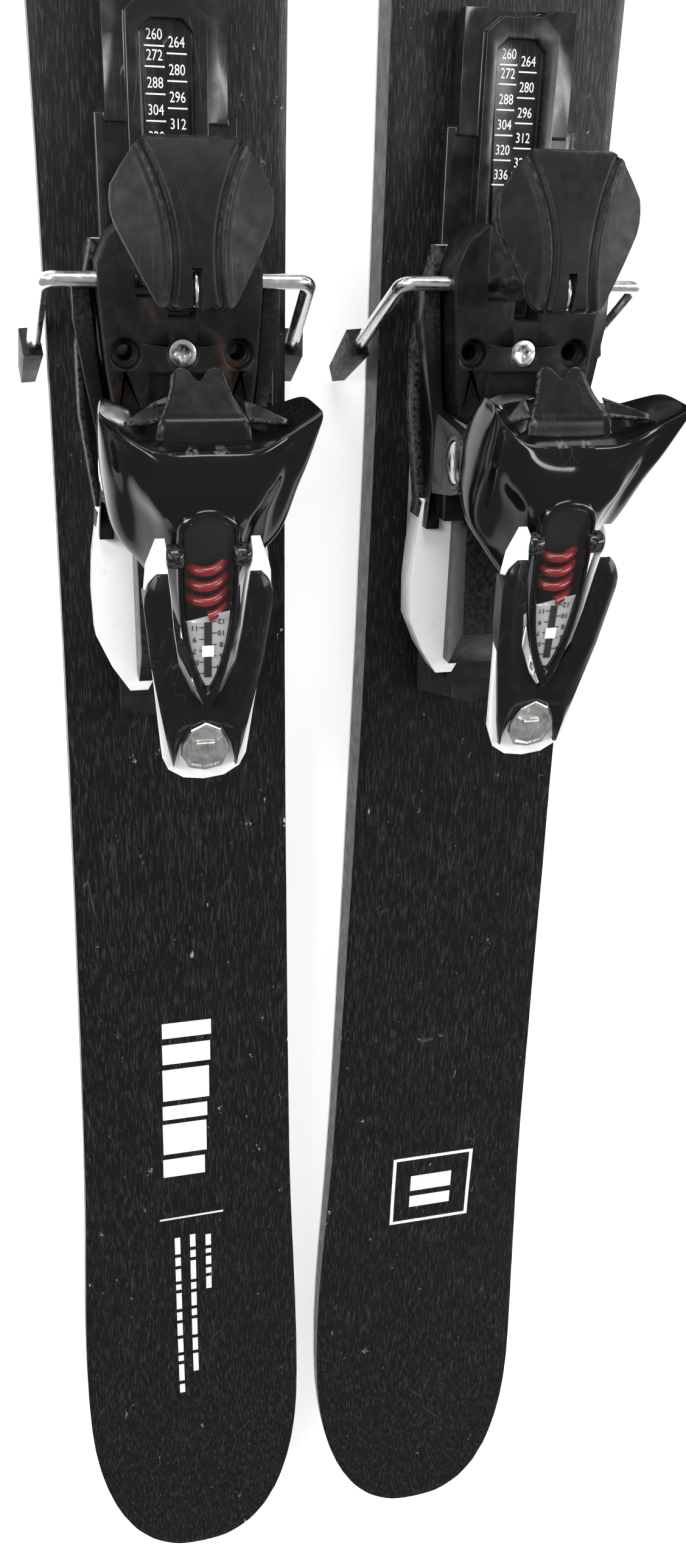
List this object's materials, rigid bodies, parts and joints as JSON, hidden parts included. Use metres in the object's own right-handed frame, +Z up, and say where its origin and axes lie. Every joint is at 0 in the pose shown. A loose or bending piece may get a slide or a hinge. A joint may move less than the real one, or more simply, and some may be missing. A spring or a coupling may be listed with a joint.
{
  "type": "alpine skis with bindings",
  "caption": "Pair of alpine skis with toe and heel bindings: heel cups that open and close, sprung brakes, toe wings and release screws.",
  "frame": {"origin": "on the ground under the middle of the pair, midway between the two skis and between tails and tips", "axes": "+Y from the tails to the tips, +Z up, +X from the left ski to the right ski"},
  "size_m": [0.256, 1.7103, 0.1561],
  "materials": {
    "wood_core": "satin",
    "base_plastic": "waxed",
    "topsheet": "satin with a brushed grain",
    "edge_steel": "ground",
    "sidewall": "satin",
    "gloss_black": "gloss",
    "matte_black": "matt",
    "white_plastic": "gloss",
    "bright_steel": "plated",
    "red_steel": "gloss",
    "clear_plastic": "clear"
  },
  "bodies": {
    "left_ski": {"left_ski_core": "wood_core", "left_ski_base": "base_plastic", "left_ski_topsheet": "topsheet", "left_ski_edges": "edge_steel", "left_ski_sidewalls": "sidewall", "left_heel_track": "gloss_black", "left_binding_screws": "bright_steel", "left_toe_base": "gloss_black", "left_toe_housing": "gloss_black"},
    "left_carriage": {"left_heel_carriage": "white_plastic", "left_heel_tower": "gloss_black", "left_brake_housing": "matte_black", "left_housing_screw": "bright_steel", "left_heel_pivot": "bright_steel"},
    "left_brake": {"left_brake_wire": "bright_steel", "left_brake_paddles": "matte_black"},
    "left_pedal": {"left_brake_pad": "matte_black"},
    "left_cup": {"left_heel_cup": "gloss_black", "left_treadle": "gloss_black", "left_heel_spring": "red_steel", "left_heel_window": "clear_plastic"},
    "left_nut": {"left_spring_nut": "white_plastic"},
    "left_adjuster": {"left_heel_screw": "bright_steel"},
    "left_lever": {"left_lever_frame": "white_plastic", "left_lever_cover": "matte_black", "left_lever_plate": "bright_steel"},
    "left_sole_slide": {"left_afd_plate": "white_plastic"},
    "left_inner_wing": {"left_toe_wing_inner": "matte_black"},
    "left_outer_wing": {"left_toe_wing_outer": "matte_black"},
    "left_toe_adjuster": {"left_toe_screw": "bright_steel"},
    "right_ski": {"right_ski_core": "wood_core", "right_ski_base": "base_plastic", "right_ski_topsheet": "topsheet", "right_ski_edges": "edge_steel", "right_ski_sidewalls": "sidewall", "right_heel_track": "gloss_black", "right_binding_screws": "bright_steel", "right_toe_base": "gloss_black", "right_toe_housing": "gloss_black"},
    "right_carriage": {"right_heel_carriage": "white_plastic", "right_heel_tower": "gloss_black", "right_brake_housing": "matte_black", "right_housing_screw": "bright_steel", "right_heel_pivot": "bright_steel"},
    "right_brake": {"right_brake_wire": "bright_steel", "right_brake_paddles": "matte_black"},
    "right_pedal": {"right_brake_pad": "matte_black"},
    "right_cup": {"right_heel_cup": "gloss_black", "right_treadle": "gloss_black", "right_heel_spring": "red_steel", "right_heel_window": "clear_plastic"},
    "right_nut": {"right_spring_nut": "white_plastic"},
    "right_adjuster": {"right_heel_screw": "bright_steel"},
    "right_lever": {"right_lever_frame": "white_plastic", "right_lever_cover": "matte_black", "right_lever_plate": "bright_steel"},
    "right_sole_slide": {"right_afd_plate": "white_plastic"},
    "right_inner_wing": {"right_toe_wing_inner": "matte_black"},
    "right_outer_wing": {"right_toe_wing_outer": "matte_black"},
    "right_toe_adjuster": {"right_toe_screw": "bright_steel"}
  },
  "joints": [
    {"name": "left_heel_length_slide", "type": "slide", "parent": "left_ski", "child": "left_carriage", "axis": [0, 1, 0], "range_m": [-0.016, 0.024]},
    {"name": "left_brake_fold", "type": "hinge", "parent": "left_carriage", "child": "left_brake", "pos_m": [-0.067, -0.137, 0.082], "axis": [1, 0, 0], "range_deg": [-62, 0], "stiffness_Nm_per_rad": 1.4, "springref_deg": 91.67},
    {"name": "left_pedal_turn", "type": "hinge", "parent": "left_brake", "child": "left_pedal", "pos_m": [-0.067, -0.132, 0.12], "axis": [1, 0, 0], "range_deg": [0, 62.5]},
    {"name": "left_heel_close", "type": "hinge", "parent": "left_carriage", "child": "left_cup", "pos_m": [-0.067, -0.2, 0.108], "axis": [1, 0, 0], "range_deg": [-30, 0], "stiffness_Nm_per_rad": 0.9, "springref_deg": 34.38},
    {"name": "left_lever_lift", "type": "hinge", "parent": "left_cup", "child": "left_lever", "pos_m": [-0.067, -0.22323, 0.14424], "axis": [1, 0, 0], "range_deg": [-6.2, 0]},
    {"name": "left_heel_screw_turn", "type": "hinge", "parent": "left_cup", "child": "left_adjuster", "pos_m": [-0.067, -0.25194, 0.12288], "axis": [0, -0.9613, -0.2756], "range_deg": [-722, 722]},
    {"name": "left_spring_nut_travel", "type": "slide", "parent": "left_cup", "child": "left_nut", "axis": [0, -0.9613, -0.2756], "range_m": [-0.0025, 0.0025]},
    {"name": "left_sole_plate_slide", "type": "slide", "parent": "left_ski", "child": "left_sole_slide", "axis": [1, 0, 0], "range_m": [-0.008, 0.008], "stiffness_N_per_m": 900},
    {"name": "left_inner_wing_turn", "type": "hinge", "parent": "left_ski", "child": "left_inner_wing", "pos_m": [-0.047, 0.168, 0.079], "axis": [0, 0, 1], "range_deg": [0, 25], "stiffness_Nm_per_rad": 9, "springref_deg": -25.78},
    {"name": "left_outer_wing_turn", "type": "hinge", "parent": "left_ski", "child": "left_outer_wing", "pos_m": [-0.087, 0.168, 0.079], "axis": [0, 0, -1], "range_deg": [0, 25], "stiffness_Nm_per_rad": 9, "springref_deg": -25.78},
    {"name": "left_toe_screw_turn", "type": "hinge", "parent": "left_ski", "child": "left_toe_adjuster", "pos_m": [-0.067, 0.213, 0.074], "axis": [0, 1, 0], "range_deg": [-720, 720]},
    {"name": "right_heel_length_slide", "type": "slide", "parent": "right_ski", "child": "right_carriage", "axis": [0, 1, 0], "range_m": [-0.016, 0.024]},
    {"name": "right_brake_fold", "type": "hinge", "parent": "right_carriage", "child": "right_brake", "pos_m": [0.067, -0.137, 0.082], "axis": [1, 0, 0], "range_deg": [-62, 0], "stiffness_Nm_per_rad": 1.4, "springref_deg": 91.67},
    {"name": "right_pedal_turn", "type": "hinge", "parent": "right_brake", "child": "right_pedal", "pos_m": [0.067, -0.132, 0.12], "axis": [1, 0, 0], "range_deg": [0, 62.5]},
    {"name": "right_heel_close", "type": "hinge", "parent": "right_carriage", "child": "right_cup", "pos_m": [0.067, -0.2, 0.108], "axis": [1, 0, 0], "range_deg": [-30, 0], "stiffness_Nm_per_rad": 0.9, "springref_deg": 34.38},
    {"name": "right_lever_lift", "type": "hinge", "parent": "right_cup", "child": "right_lever", "pos_m": [0.067, -0.22323, 0.14424], "axis": [1, 0, 0], "range_deg": [-6.2, 0]},
    {"name": "right_heel_screw_turn", "type": "hinge", "parent": "right_cup", "child": "right_adjuster", "pos_m": [0.067, -0.25194, 0.12288], "axis": [0, -0.9613, -0.2756], "range_deg": [-722, 722]},
    {"name": "right_spring_nut_travel", "type": "slide", "parent": "right_cup", "child": "right_nut", "axis": [0, -0.9613, -0.2756], "range_m": [-0.0025, 0.0025]},
    {"name": "right_sole_plate_slide", "type": "slide", "parent": "right_ski", "child": "right_sole_slide", "axis": [1, 0, 0], "range_m": [-0.008, 0.008], "stiffness_N_per_m": 900},
    {"name": "right_inner_wing_turn", "type": "hinge", "parent": "right_ski", "child": "right_inner_wing", "pos_m": [0.047, 0.168, 0.079], "axis": [0, 0, -1], "range_deg": [0, 25], "stiffness_Nm_per_rad": 9, "springref_deg": -25.78},
    {"name": "right_outer_wing_turn", "type": "hinge", "parent": "right_ski", "child": "right_outer_wing", "pos_m": [0.087, 0.168, 0.079], "axis": [0, 0, 1], "range_deg": [0, 25], "stiffness_Nm_per_rad": 9, "springref_deg": -25.78},
    {"name": "right_toe_screw_turn", "type": "hinge", "parent": "right_ski", "child": "right_toe_adjuster", "pos_m": [0.067, 0.213, 0.074], "axis": [0, 1, 0], "range_deg": [-720, 720]},
    {"name": "pair_spacing", "type": "slide", "parent": "left_ski", "child": "right_ski", "axis": [1, 0, 0], "range_m": [-0.008, 0.3]}
  ],
  "couplings": [
    {"joint": "left_pedal_turn", "follows": "left_brake_fold", "ratio": -1},
    {"joint": "left_lever_lift", "follows": "left_heel_close", "ratio": 0.2},
    {"joint": "left_heel_screw_turn", "follows": "left_spring_nut_travel", "rad_per_m": 5026.5},
    {"joint": "right_pedal_turn", "follows": "right_brake_fold", "ratio": -1},
    {"joint": "right_lever_lift", "follows": "right_heel_close", "ratio": 0.2},
    {"joint": "right_heel_screw_turn", "follows": "right_spring_nut_travel", "rad_per_m": 5026.5}
  ]
}
